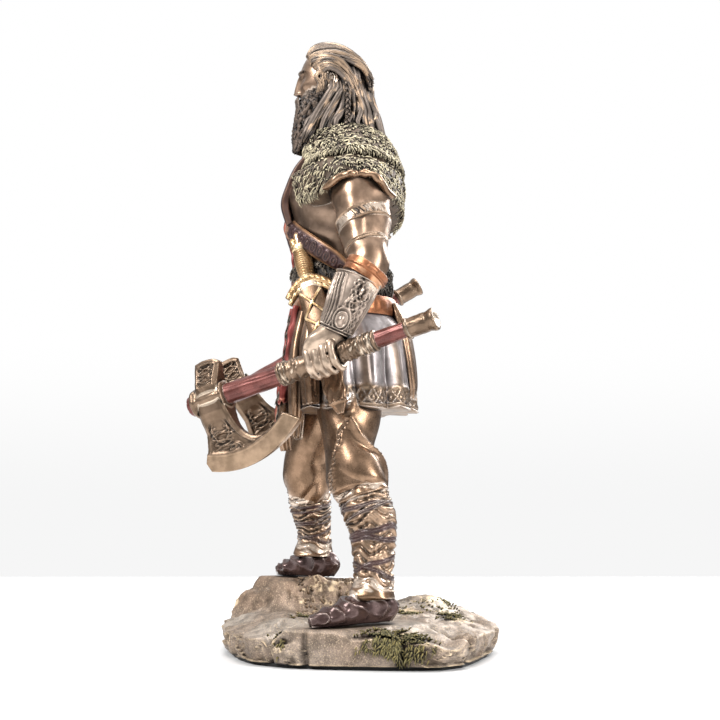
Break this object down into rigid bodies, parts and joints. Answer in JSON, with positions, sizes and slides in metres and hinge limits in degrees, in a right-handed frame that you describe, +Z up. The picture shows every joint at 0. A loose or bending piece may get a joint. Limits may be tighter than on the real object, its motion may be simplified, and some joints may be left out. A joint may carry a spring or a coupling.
{
  "type": "viking warrior statuette",
  "caption": "Standing bearded viking warrior in a fur collar with an axe in each hand and a sheathed sword, cast figurine on a rock base.",
  "frame": {"origin": "centre of the base's underside", "axes": "+Z up, the figure faces -Y, its left side is +X"},
  "size_m": [0.1242, 0.1137, 0.2341],
  "materials": {
    "figure": "bronze-coated cast resin, dark wash, bright worn edges",
    "axes": "bronze-coated cast resin with red-brown painted hafts",
    "rock": "bronze-coated cast resin with a grey wash and green paint",
    "felt": "black felt"
  },
  "bodies": {
    "root": {"viking_figure": "figure", "left_axe": "axes", "right_axe": "axes", "rock_base": "rock", "base_felt": "felt"}
  },
  "joints": []
}
